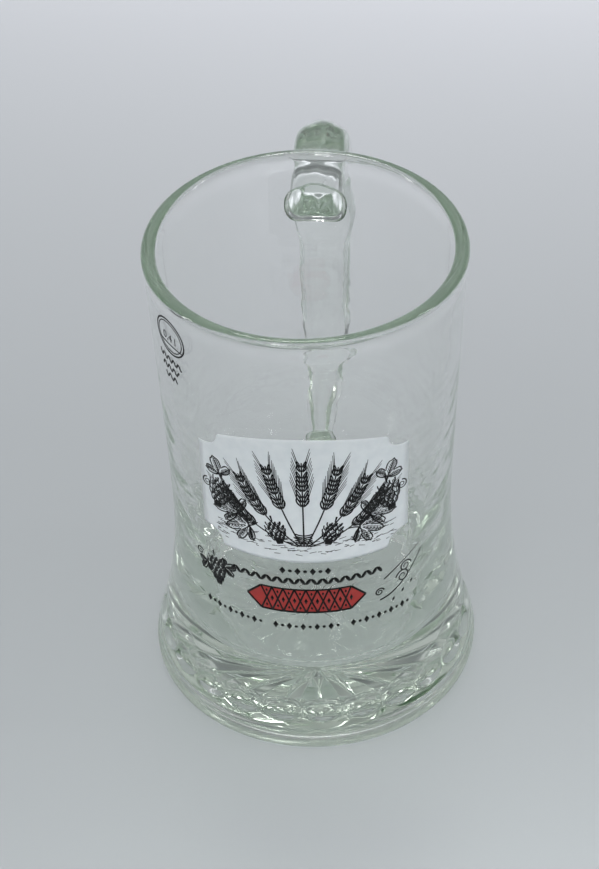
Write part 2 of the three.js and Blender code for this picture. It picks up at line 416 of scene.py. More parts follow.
def finish_piece(
    name: str, bm: bmesh.types.BMesh, material: bpy.types.Material, slot: Slot | None = None
) -> bpy.types.Object:
    """Turns a bmesh drawn in millimetres into a finished piece at the origin.

    Args:
        name: The piece's name.
        bm: The mesh, in millimetres. It is freed.
        material: The piece's finish.
        slot: The record's slot for the piece, or None where it has no slot. It is not used.

    Returns:
        The new object, riding on the mug's body.
    """
    bmesh.ops.scale(bm, vec=(MM, MM, MM), verts=bm.verts)
    for face in bm.faces:
        face.smooth = True
    mesh = bpy.data.meshes.new(name)
    bm.to_mesh(mesh)
    bm.free()
    mesh.materials.append(material)
    piece = bpy.data.objects.new(name, mesh)
    bpy.context.scene.collection.objects.link(piece)
    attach(piece, BODY)
    log.info("%s: %d vertices, %d faces", name, len(mesh.vertices), len(mesh.polygons))
    return piece


def placed_grid(
    columns: int, rows: int, place: Callable[[float, float], Vector], bm: bmesh.types.BMesh
) -> None:
    """Adds a grid whose corners are placed by a function.

    Args:
        columns: Cells along the first direction.
        rows: Cells along the second direction.
        place: Gives a corner's place from its shares 0..1 along the two directions.
        bm: The mesh that gets the grid.
    """
    made = bmesh.ops.create_grid(bm, x_segments=columns, y_segments=rows, size=1.0)
    for vert in made["verts"]:
        vert.co = place((vert.co.x + 1) / 2, (vert.co.y + 1) / 2)


@dataclass
class GlassBody:
    """The pressed body: foot, flare, waist, wall, rim and drinking cavity."""

    # The outline, from the rim to the waist and the flare.
    height: float = 141.3
    rim_radius: float = 41.0
    rim_wall: float = 3.3
    lip_bead: float = 0.25
    lip_bead_height: float = 5.0
    waist_radius: float = 38.25
    waist_height: float = 56.0
    upper_power: float = 1.3
    flare_power: float = 2.0
    # The cavity's floor, with the mark that the plunger leaves round it at these angles below level.
    floor_height: float = 21.0
    floor_radius: float = 33.5
    corner_radius: float = 5.5
    floor_dish: float = 0.5
    plunger_mark: float = 0.3
    plunger_arc: Point = (-10.0, -45.0)
    # The foot's edge and the bead rings above it.
    foot_radius: float = 46.0
    edge_round: float = 2.4
    band_height: float = 8.2
    flare_start_radius: float = 44.9
    bead_count: int = 2
    bead_depth: float = 0.35
    bead_level: float = 0.35
    bead_power: float = 0.7
    # The underside: the ring that it rests on, the recess and the star's rays and petals.
    rest_ring_width: float = 4.6
    recess_depth: float = 0.6
    recess_slope: float = 1.2
    ray_count: int = 16
    ray_inner: float = 4.5
    ray_widest: float = 21.0
    ray_outer: float = 30.0
    ray_depth: float = 1.0
    ray_land: float = 0.3
    petal_inner: float = 1.6
    petal_widest: float = 6.5
    petal_outer: float = 15.5
    petal_depth: float = 0.7
    star_polish: float = 0.1
    # The thumbprint hollows. Each is cut by a scaled ball that leans with the flare.
    hollow_count: int = 24
    hollow_turn: float = -1.5
    hollow_level: float = 13.7
    hollow_height: float = 7.4
    hollow_depth: float = 1.7
    hollow_lap: float = 1.15
    hollow_reach: float = 3.0
    hollow_polish: float = 0.02
    # The mould's waviness: heights at which it starts and calms down, and how far below the lip it ends.
    outer_wave: float = 0.1
    inner_wave: float = 0.25
    wave_size: Point = (12.0, 5.0)
    wave_start: Point = (22.0, 36.0)
    wave_calm: Point = (70.0, 110.0)
    wave_calm_share: float = 0.25
    wave_end: Point = (15.0, 3.0)
    wave_apart: float = 37.0
    # How closely the mesh is set.
    columns_per_hollow: int = 16
    recess_rows: int = 30
    edge_rows: int = 8
    bead_rows: int = 8
    hollow_rows: int = 25
    flare_rows: int = 23
    wall_rows: int = 34
    bead_wall_rows: int = 8
    lip_rows: int = 16
    cavity_rows: int = 40
    corner_rows: int = 18
    floor_rows: int = 12
    glass: PressedGlass = field(default_factory=lambda: PressedGlass("soda_lime_glass_pressed_body"))

    @property
    def lip_height(self) -> float:
        """Height of the lip's own centre line."""
        return self.height - self.rim_wall / 2 - self.lip_bead

    @property
    def recess_radius(self) -> float:
        """Radius of the flat, pressed middle of the underside."""
        return self.foot_radius - self.edge_round - self.rest_ring_width - self.recess_slope

    def bead(self, z: float) -> float:
        """Returns how far the fire-polished lip swells past the wall's two skins at a height."""
        return self.lip_bead * smooth_step((z - self.lip_height) / self.lip_bead_height + 1)

    def wall_radius(self, z: float) -> float:
        """Works out the outer wall from two power curves that meet upright at the waist.

        Args:
            z: The height.

        Returns:
            The outer wall's radius there.
        """
        if z >= self.waist_height:
            rise = min((z - self.waist_height) / (self.lip_height - self.waist_height), 1.0)
            return self.waist_radius + (self.rim_radius - self.waist_radius) * rise ** self.upper_power
        drop = min((self.waist_height - z) / (self.waist_height - self.band_height), 1.0)
        return self.waist_radius + (self.flare_start_radius - self.waist_radius) * drop ** self.flare_power

    def wave(self, angle: float, z: float, side: float) -> float:
        """Works out the mould's waviness.

        Args:
            angle: The angle about the axis, in radians.
            z: The height.
            side: Tells the outer skin, 0, from the inner one, 1.

        Returns:
            The waviness there, -1..1.
        """
        across, upright = self.wave_size
        ring = self.waist_radius / across
        spot = Vector((ring * math.cos(angle), ring * math.sin(angle), z / upright + side * self.wave_apart))
        return noise.noise(spot)

    def wave_share(self, z: float) -> float:
        """Works out how strong the waviness is: full low on the wall, weak above, none at foot and rim.

        Args:
            z: The height.

        Returns:
            Its share there, 0..1.
        """
        below_lip = (self.lip_height - self.wave_end[1], self.lip_height - self.wave_end[0])
        ends = eased(z, self.wave_start) * eased(z, below_lip)
        return ends * lerp(1.0, self.wave_calm_share, eased(z, self.wave_calm))

    def skin_radius(self, angle: float, z: float) -> float:
        """Returns the outer wall's radius with its waviness."""
        return self.wall_radius(z) + self.outer_wave * self.wave_share(z) * self.wave(angle, z, 0.0)

    def wall_points(self, low: float, high: float, count: int) -> list[Point]:
        """Returns count + 1 points up the outer wall."""
        heights = [lerp(low, high, k / count) for k in range(count + 1)]
        return [(self.wall_radius(z), z) for z in heights]

    def underside(self) -> list[Point]:
        """Returns the half section of the recess, the ring that the mug rests on and the foot's edge."""
        rest_outer = self.foot_radius - self.edge_round
        rest_inner = rest_outer - self.rest_ring_width
        shares = [k / self.recess_rows for k in range(self.recess_rows + 1)]
        recess = [(self.recess_radius * share, self.recess_depth) for share in shares]
        rest = [(rest_inner, 0.0), (lerp(rest_inner, rest_outer, 0.5), 0.0)]
        edge = arc((rest_outer, self.edge_round), self.edge_round, -90, 0, self.edge_rows)
        return [*recess, *rest, *edge]

    def band(self) -> list[Point]:
        """Returns the half section of the bead rings above the foot's edge."""
        steps = self.bead_count * self.bead_rows
        points = []
        for k in range(1, steps):
            share = k / steps
            ring = abs(math.sin(math.pi * self.bead_count * share)) ** self.bead_power
            radius = lerp(self.foot_radius, self.flare_start_radius, share)
            height = lerp(self.edge_round, self.band_height, share)
            points.append((radius + self.bead_depth * (ring - self.bead_level), height))
        return points

    def outside(self) -> list[Point]:
        """Returns the half section of the outer wall and the lip, closest set where the hollows come."""
        hollows_top = self.hollow_level + self.hollow_height / 2 + 1
        hollows = self.wall_points(self.band_height, hollows_top, self.hollow_rows)
        flare = self.wall_points(hollows_top, self.waist_height, self.flare_rows)[1:]
        wall_top = self.lip_height - self.lip_bead_height
        wall = self.wall_points(self.waist_height, wall_top, self.wall_rows)[1:]
        wall += self.wall_points(wall_top, self.lip_height, self.bead_wall_rows)[1:-1]
        wall = [(radius + self.bead(z), z) for radius, z in wall]
        lip_centre = (self.rim_radius - self.rim_wall / 2, self.lip_height)
        lip = arc(lip_centre, self.rim_wall / 2 + self.lip_bead, 0, 180, self.lip_rows)
        return [*hollows, *flare, *wall, *lip]

    def cavity(self) -> list[Point]:
        """Returns the half section of the cavity: the plunger's mark in its corner and a dished floor."""
        wall_foot = self.floor_height + self.corner_radius
        wall = []
        # The first two rows are split in four, because the lip swells there.
        close_rows = [k / (4 * self.cavity_rows) for k in range(1, 8)]
        for share in close_rows + [k / self.cavity_rows for k in range(2, self.cavity_rows)]:
            z = lerp(self.lip_height, wall_foot, share)
            wall.append((lerp(self.rim_radius - self.rim_wall, self.floor_radius, share) - self.bead(z), z))
        reach = self.floor_radius - self.corner_radius
        corner = arc((reach, wall_foot), self.corner_radius, 0, -90, self.corner_rows)
        start, end = self.plunger_arc
        for k, (radius, z) in enumerate(corner):
            turn = -90 * k / self.corner_rows
            if end < turn < start:
                swell = self.plunger_mark * math.sin(math.pi * (turn - start) / (end - start)) ** 2
                way = math.radians(turn)
                corner[k] = (radius - swell * math.cos(way), z - swell * math.sin(way))
        floor = []
        for k in range(1, self.floor_rows + 1):
            out = 1 - k / self.floor_rows
            floor.append((reach * out, self.floor_height - self.floor_dish * (1 - out ** 2)))
        return [*wall, *corner, *floor]

    def hollow_radius(self, angle: float, z: float) -> float:
        """Works out how near the axis the thumbprint hollows reach.

        Args:
            angle: The angle from the front, in degrees.
            z: The height.

        Returns:
            The radius of the nearest hollow's surface, or infinity where no hollow reaches.
        """
        pitch = 360 / self.hollow_count
        off = math.radians((angle - self.hollow_turn) % pitch - pitch / 2)
        radius = self.wall_radius(self.hollow_level)
        half_width = self.hollow_lap * math.pi * radius / self.hollow_count
        stand_off = self.hollow_reach - self.hollow_depth
        widest_cut = 0.98
        across = min((stand_off + half_width ** 2 / (2 * radius)) / self.hollow_reach, widest_cut)
        width = half_width / math.sqrt(1 - across ** 2)
        tall = self.hollow_height / 2 / math.sqrt(1 - (stand_off / self.hollow_reach) ** 2)
        rise = self.wall_radius(self.hollow_level + 0.5) - self.wall_radius(self.hollow_level - 0.5)
        lean = math.atan2(rise, 1.0)
        cos_l, sin_l = math.cos(lean), math.sin(lean)
        up, out = z - self.hollow_level, -radius
        nearest = math.inf
        for shift in (-pitch, 0.0, pitch):
            # A line from the axis, start + r * along, in the frame in which the hollow is a unit ball.
            turn = off + math.radians(shift)
            step = math.cos(turn)
            along = Vector((math.sin(turn) / width, step * cos_l / self.hollow_reach, step * sin_l / tall))
            start = Vector((
                0.0,
                (out * cos_l - up * sin_l - stand_off) / self.hollow_reach,
                (out * sin_l + up * cos_l) / tall,
            ))
            a, b, c = along.dot(along), start.dot(along), start.dot(start) - 1
            gap = b * b - a * c
            if gap > 0:
                nearest = min(nearest, (-b - math.sqrt(gap)) / a)
        return nearest

    def star_depth(self, radius: float, angle: float) -> float:
        """Works out the pressed star: long rays with short petals between them, each a kite with a ridge.

        Args:
            radius: The distance from the axis.
            angle: The angle from the front, in degrees.

        Returns:
            How deep the star is there.
        """
        pitch = 360 / self.ray_count
        half_turn = self.hollow_turn + 180 / self.hollow_count
        depth = 0.0
        kites = (
            (0.5, self.ray_inner, self.ray_widest, self.ray_outer, self.ray_depth),
            (0.0, self.petal_inner, self.petal_widest, self.petal_outer, self.petal_depth),
        )
        for shift, inner, widest, outer, deepest in kites:
            off = math.radians((angle - half_turn - shift * pitch + pitch / 2) % pitch - pitch / 2)
            along, across = radius * math.cos(off), abs(radius * math.sin(off))
            width = 2 * math.pi * widest / self.ray_count - self.ray_land
            reach = outer - widest if along > widest else widest - inner
            share = 1 - across / (width / 2) - abs(along - widest) / reach
            depth = max(depth, deepest * share)
        return -soft_min(-depth, 0.0, self.star_polish)

    def press(self, vert: bmesh.types.BMVert) -> None:
        """Moves one corner of the turned blank to where the mould's pattern puts it.

        Args:
            vert: The corner.
        """
        x, y, z = vert.co
        radius = math.hypot(x, y)
        angle = math.atan2(x, -y)
        if z <= self.recess_depth + NEAR and radius < self.recess_radius + NEAR:
            vert.co.z += self.star_depth(radius, math.degrees(angle))
            return
        if radius < TINY:
            return
        new_radius = radius
        if z > self.band_height - NEAR and radius > self.wall_radius(z) - NEAR:
            new_radius = radius + self.skin_radius(angle, z) - self.wall_radius(z)
            if z < self.hollow_level + self.hollow_height:
                hollow = self.hollow_radius(math.degrees(angle), z)
                new_radius = soft_min(new_radius, hollow, self.hollow_polish)
        elif self.floor_height + self.corner_radius / 2 < z < self.lip_height:
            new_radius = radius + self.inner_wave * self.wave_share(z) * self.wave(angle, z, 1.0)
        vert.co.x *= new_radius / radius
        vert.co.y *= new_radius / radius

    def build(self) -> bpy.types.Object:
        """Turns the half section about the axis, presses the pattern into it and dresses it.

        Returns:
            The finished body.
        """
        bm = bmesh.new()
        turn = math.radians(self.hollow_turn)
        section = [*self.underside(), *self.band(), *self.outside(), *self.cavity()]
        verts = [bm.verts.new((r * math.sin(turn), -r * math.cos(turn), z)) for r, z in section]
        edges = [bm.edges.new(pair) for pair in zip(verts, verts[1:])]
        bmesh.ops.spin(
            bm,
            geom=verts + edges,
            cent=(0, 0, 0),
            axis=(0, 0, 1),
            angle=2 * math.pi,
            steps=self.hollow_count * self.columns_per_hollow,
            use_merge=True,
        )
        bmesh.ops.remove_doubles(bm, verts=bm.verts, dist=1e-4)
        bmesh.ops.recalc_face_normals(bm, faces=bm.faces)
        for vert in bm.verts:
            self.press(vert)
        piece = finish_piece("mug_body", bm, self.glass.material(), Slot.BODY_GLASS)
        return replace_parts(piece, "glass_body")


@dataclass(frozen=True)
class CentreLine:
    """Close points on a line, each one's distance along it, and the distances at which its curves end."""

    points: list[Vector]
    lengths: list[float]
    stations: list[float]

    @classmethod
    def through(cls, curves: Iterable[tuple[Vector, ...]], steps: int = 120) -> "CentreLine":
        """Follows cubic curves, each of which starts where the last one ends.

        Args:
            curves: The four knots of each curve.
            steps: The number of steps along each curve.

        Returns:
            The line.
        """
        points: list[Vector] = []
        lengths: list[float] = []
        stations = [0.0]
        for knots in curves:
            for k in range(steps + 1):
                a, b, c, d = cubic_shares(k / steps)
                point = knots[0] * a + knots[1] * b + knots[2] * c + knots[3] * d
                step = (point - points[-1]).length if points else 0.0
                if not points or step > TINY:
                    lengths.append(lengths[-1] + step if lengths else 0.0)
                    points.append(point)
            stations.append(lengths[-1])
        return cls(points, lengths, stations)

    def at(self, distance: float) -> tuple[Vector, Vector]:
        """Finds a place on the line.

        Args:
            distance: The distance along the line.

        Returns:
            The place and the line's direction there.
        """
        index = min(max(bisect.bisect_left(self.lengths, distance), 1), len(self.lengths) - 1)
        first, second = self.points[index - 1], self.points[index]
        before = self.lengths[index - 1]
        place = first.lerp(second, (distance - before) / (self.lengths[index] - before))
        return place, (second - first).normalized()


@dataclass
class Handle:
    """The solid handle: a D with a flat finger side and a ridged back, fused to the wall at both ends."""

    body: GlassBody
    # The centre line.
    arm_height: float = 125.0
    grip_reach: float = 77.4
    grip_lean: float = 1.8
    upper_bend: float = 18.0
    tail_height: float = 42.3
    lower_bend: float = 15.5
    bend_pull: float = 0.5523
    # Width and thickness from the wall above to the wall below.
    arm_size: Point = (15.0, 9.8)
    corner_size: Point = (15.9, 15.6)
    neck_size: Point = (16.6, 11.2)
    corner_run: float = 4.0
    swell_size: Point = (19.5, 11.6)
    swell_drop: float = 29.0
    grip_size: Point = (15.8, 11.0)
    tail_size: Point = (10.4, 8.8)
    tail_end_size: Point = (7.4, 8.0)
    # The seats on the wall.
    fillet: float = 1.2
    sink: float = 0.35
    seat_run: float = 10.0
    seat_radius: float = 40.0
    # How closely the mesh is set.
    columns: int = 64
    rows: int = 260
    cap_rows: int = 8
    fillet_rows: int = 9
    glass: PressedGlass = field(
        default_factory=lambda: PressedGlass("soda_lime_glass_pressed_handle", ripple_height=0.0)
    )

    def centre_line(self) -> CentreLine:
        """Returns the handle's centre line, from the wall above to the wall below."""
        start = Vector((0, self.body.wall_radius(self.arm_height), self.arm_height))
        arm_end = Vector((0, self.grip_reach - self.upper_bend, self.arm_height))
        grip_top = Vector((0, self.grip_reach, self.arm_height - self.upper_bend))
        grip_low = Vector((0, self.grip_reach - self.grip_lean, self.tail_height + self.lower_bend))
        tail_start = Vector((0, grip_low.y - self.lower_bend, self.tail_height))
        end = Vector((0, self.body.wall_radius(self.tail_height), self.tail_height))
        pull = (grip_top.z - grip_low.z) / 3
        upper, lower = self.bend_pull * self.upper_bend, self.bend_pull * self.lower_bend
        out, up = Vector((0, 1, 0)), Vector((0, 0, 1))
        return CentreLine.through([
            (start, start.lerp(arm_end, 1 / 3), start.lerp(arm_end, 2 / 3), arm_end),
            (arm_end, arm_end + out * upper, grip_top + up * upper, grip_top),
            (grip_top, grip_top - up * pull, grip_low + up * pull, grip_low),
            (grip_low, grip_low - up * lower, tail_start + out * lower, tail_start),
            (tail_start, tail_start.lerp(end, 1 / 3), tail_start.lerp(end, 2 / 3), end),
        ])

    def size_at(self, distance: float, stations: list[float]) -> Point:
        """Works out the cross section's size.

        Args:
            distance: The distance along the centre line.
            stations: The distances at which the centre line's curves end.

        Returns:
            The width and the thickness there.
        """
        _, arm_end, bend_end, grip_end, tail_start, total = stations
        swell = bend_end + self.swell_drop - self.upper_bend
        marks = [
            (0.0, self.arm_size),
            (arm_end - self.corner_run, self.arm_size),
            ((arm_end + bend_end) / 2, self.corner_size),
            (bend_end + self.corner_run / 2, self.neck_size),
            (swell, self.swell_size),
            (2 * swell - bend_end, self.grip_size),
            (grip_end, self.grip_size),
            (tail_start, self.tail_size),
            (total, self.tail_end_size),
        ]
        for (low, small), (high, large) in zip(marks, marks[1:]):
            if distance <= high:
                t = eased(distance, (low, high))
                return lerp(small[0], large[0], t), lerp(small[1], large[1], t)
        return marks[-1][1]

    @staticmethod
    def section(share: float) -> Point:
        """Works out the unit cross section: ridged back, round sides, flat finger side.

        Args:
            share: How far round the section, 0..1.

        Returns:
            The point there, with both its values -1..1.
        """
        rib = [(0, 1), (-0.2, 0.99), (-0.32, 0.91), (-0.45, 0.84)]
        shoulder = [(-0.45, 0.84), (-0.72, 0.73), (-1, 0.62), (-1, -0.1)]
        side = [(-1, -0.1), (-1, -0.6), (-0.85, -1), (-0.5, -1)]
        flat = [(-0.5, -1), (-0.33, -1), (-0.17, -1), (0, -1)]
        half = share * 2 if share <= 0.5 else (1 - share) * 2
        marks = [0.0, 0.1875, 0.5, 0.78125, 1.0]
        index = next(i for i in range(4) if half <= marks[i + 1])
        knots = (rib, shoulder, side, flat)[index]
        weights = cubic_shares((half - marks[index]) / (marks[index + 1] - marks[index]))
        x = sum(w * p[0] for w, p in zip(weights, knots))
        y = sum(w * p[1] for w, p in zip(weights, knots))
        return (x, y) if share <= 0.5 else (-x, y)

    def rings(self, total: float) -> list[Point]:
        """Lists the skin's rings: over the sunk end, up the fillet, along the handle and back to the wall.

        Args:
            total: The centre line's length.

        Returns:
            Each ring's distance along the centre line and its scale.
        """
        start = [(0.0, k / self.cap_rows) for k in range(self.cap_rows)]
        start += [(k / self.fillet_rows * self.fillet, 1.0) for k in range(self.fillet_rows)]
        middle = self.rows - 2 * len(start)
        run = [(lerp(self.fillet, total - self.fillet, k / middle), 1.0) for k in range(middle + 1)]
        return start + run + [(total - distance, scale) for distance, scale in reversed(start)]

    def wall_y(self, x: float, z: float, sink: float = 0.0) -> float:
        """Finds the wall behind the mug.

        Args:
            x: The place across the mug.
            z: The height.
            sink: How deep in the wall.

        Returns:
            The wall's place towards the handle.
        """
        radius = self.body.skin_radius(math.pi - math.asin(x / self.seat_radius), z) - sink
        return math.sqrt(max(radius * radius - x * x, 0.0))

    def skin_point(self, line: CentreLine, ring: Point, share: float) -> Vector:
        """Finds a point of the skin. It flares into a fillet at the wall and follows the wall's curve there.

        Args:
            line: The centre line.
            ring: The ring's distance along the centre line and its scale.
            share: How far round the ring, 0..1.

        Returns:
            The point.
        """
        distance, scale = ring
        centre, along = line.at(distance)
        width, thick = self.size_at(distance, line.stations)
        from_wall = min(distance, line.lengths[-1] - distance)
        rest = max(1 - from_wall / self.fillet, 0.0)
        grow = self.fillet * (1 - math.sqrt(1 - rest * rest))
        px, py = self.section(share)
        x = px * (width / 2 + grow) * scale
        h = py * (thick / 2 + grow) * scale
        point = Vector((x, centre.y - along.z * h, centre.z + along.y * h))
        pull = 1 - smooth_step(from_wall / self.seat_run)
        if pull > 0:
            point.y += pull * (self.wall_y(x, point.z) - self.wall_y(0.0, centre.z))
        if from_wall < TINY:
            point.y = self.wall_y(x, point.z, self.sink)
        return point

    def build(self) -> bpy.types.Object:
        """Lays a grid round the centre line, closes its ends on the wall and dresses it.

        Returns:
            The finished handle.
        """
        line = self.centre_line()
        rings = self.rings(line.lengths[-1])
        last = len(rings) - 1

        def place(s: float, t: float) -> Vector:
            """Returns the skin's point a share s round the ring that is a share t along."""
            return self.skin_point(line, rings[round(t * last)], s)

        bm = bmesh.new()
        placed_grid(self.columns, last, place, bm)
        bmesh.ops.remove_doubles(bm, verts=bm.verts, dist=NEAR)
        bmesh.ops.recalc_face_normals(bm, faces=bm.faces)
        piece = finish_piece("mug_handle", bm, self.glass.material(), Slot.HANDLE_GLASS)
        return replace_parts(piece, "handle")


@dataclass
class InkLayer:
    """One colour of the print, drawn flat as arc length u and height v, then laid on the wall.

    On the real mug a layer is a few hundredths of a millimetre thick. Its lift puts it just off the glass,
    or a little way into the colour that it is printed over.
    """

    body: GlassBody
    lift: float = PRINT_LIFT
    thickness: float = 0.04
    print_turn: float = 1.0
    bm: bmesh.types.BMesh = field(default_factory=bmesh.new)

    @classmethod
    def over(cls, body: GlassBody, colour_thickness: float) -> "InkLayer":
        """Returns a layer that is printed over a colour of the given thickness."""
        return cls(body, PRINT_LIFT + colour_thickness - PRINT_BITE)

    def stroke(self, points: Iterable[Point], start_width: float, end_width: float | None = None) -> None:
        """Draws a line whose width runs evenly from its start to its end.

        Args:
            points: The line's points.
            start_width: The width at the first point.
            end_width: The width at the last point, or None for an even line.
        """
        line = [Vector(p) for p in points]
        last = len(line) - 1
        end_width = start_width if end_width is None else end_width

        def place(s: float, t: float) -> Vector:
            """Finds a corner of the line.

            Args:
                s: How far along the line, 0..1.
                t: 0 for its right edge, 1 for its left edge.

            Returns:
                The corner.
            """
            k = round(s * last)
            along = (line[min(k + 1, last)] - line[max(k - 1, 0)]).normalized()
            half = lerp(start_width, end_width, s) / 2 * (1 if t > 0.5 else -1)
            return Vector((line[k].x - along.y * half, line[k].y + along.x * half, 0.0))

        placed_grid(last, 1, place, self.bm)

    def spot(self, centre: Point, size: Point, turn: float = 0.0, corners: int = 8) -> None:
        """Draws a filled round or pointed spot.

        Args:
            centre: Its middle.
            size: Its width and length.
            turn: How far its length leans from upright, in degrees, clockwise.
            corners: The number of corners; 4 gives a lozenge.
        """
        made = bmesh.ops.create_circle(self.bm, cap_ends=True, segments=corners, radius=1.0)
        lean = Matrix.Rotation(-math.radians(turn), 3, "Z")
        for vert in made["verts"]:
            x, y = vert.co.x * size[0] / 2, vert.co.y * size[1] / 2
            vert.co = lean @ Vector((x, y, 0.0)) + Vector((*centre, 0.0))

    def figure(self, words: str, size: float, foot: Point) -> None:
        """Draws figures in Blender's own plain face.

        Args:
            words: What to draw.
            size: The face's size.
            foot: The middle of the line that they stand on.
        """
        text = bpy.data.curves.new("figure", "FONT")
        text.body = words
        text.size = size
        text.align_x = "CENTER"
        shape = bpy.data.objects.new("figure", text)
        bpy.context.scene.collection.objects.link(shape)
        before = set(self.bm.verts)
        self.bm.from_mesh(shape.to_mesh())
        made = [v for v in self.bm.verts if v not in before]
        bmesh.ops.translate(self.bm, vec=(*foot, 0.0), verts=made)
        shape.to_mesh_clear()
        bpy.data.objects.remove(shape)
        bpy.data.curves.remove(text)

    def lay(self, name: str, material: bpy.types.Material, slot: Slot | None = None) -> bpy.types.Object:
        """Gives the drawing its thickness and wraps it on the wall.

        Args:
            name: The piece's name.
            material: Its finish.
            slot: The record's slot for it, or None where it has no slot.

        Returns:
            The finished piece.
        """
        made = bmesh.ops.extrude_face_region(self.bm, geom=self.bm.faces[:])
        top = [e for e in made["geom"] if isinstance(e, bmesh.types.BMVert)]
        bmesh.ops.translate(self.bm, vec=(0, 0, self.thickness), verts=top)
        bmesh.ops.recalc_face_normals(self.bm, faces=self.bm.faces)
        for vert in self.bm.verts:
            u, v, lift = vert.co
            angle = u / self.body.wall_radius(v) + math.radians(self.print_turn)
            radius = self.body.skin_radius(angle, v) + self.lift + lift
            vert.co = (radius * math.sin(angle), -radius * math.cos(angle), v)
        return finish_piece(name, self.bm, material, slot)


@dataclass
class Picture:
    """The white panel, with scooped corners and a crowned top."""

    body: GlassBody
    width: float = 53.0
    low: float = 66.0
    high: float = 110.0
    crown: float = 4.0
    scoop: float = 5.0
    thickness: float = 0.07
    columns: int = 80
    rows: int = 44
    even_share: float = 0.84
    white: FiredEnamel = field(
        default_factory=lambda: FiredEnamel("fired_enamel_white_screen_printed", "#e9eef0", "#e1e7ea")
    )

    @property
    def inner(self) -> float:
        """Half the width between the scoops."""
        return self.width / 2 - self.scoop

    def edges_at(self, x: float) -> Point:
        """Works out the panel's outline.

        Args:
            x: The place on the front plane.

        Returns:
            The lower and the upper edge there.
        """
        past = max(abs(x) - self.inner, 0.0) / self.scoop
        cut = self.scoop * (2 * math.sqrt(past) - past)
        crown = self.crown * (1 - min(abs(x) / self.inner, 1.0) ** 2)
        return self.low + cut, self.high - self.crown + crown - cut

    def build(self) -> bpy.types.Object:
        """Builds the white ground, its columns set closer in the scoops.

        Returns:
            The finished ground.
        """
        layer = InkLayer(self.body, thickness=self.thickness)

        def place(s: float, t: float) -> Vector:
            """Finds a point of the panel.

            Args:
                s: How far across it, 0..1.
                t: How far up it, 0..1.

            Returns:
                The point.
            """
            side = abs(2 * s - 1)
            past = (side - self.even_share) / (1 - self.even_share)
            x = self.inner * side / self.even_share if past <= 0 else self.inner + self.scoop * past ** 2
            v = lerp(*self.edges_at(min(x, self.width / 2)), t)
            radius = self.body.wall_radius(v)
            return Vector((math.copysign(radius * math.asin(x / radius), 2 * s - 1), v, 0.0))

        placed_grid(self.columns, self.rows, place, layer.bm)
        piece = layer.lay("print_white_ground", self.white.material(), Slot.WHITE_ENAMEL)
        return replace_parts(piece, "enamel_panel")


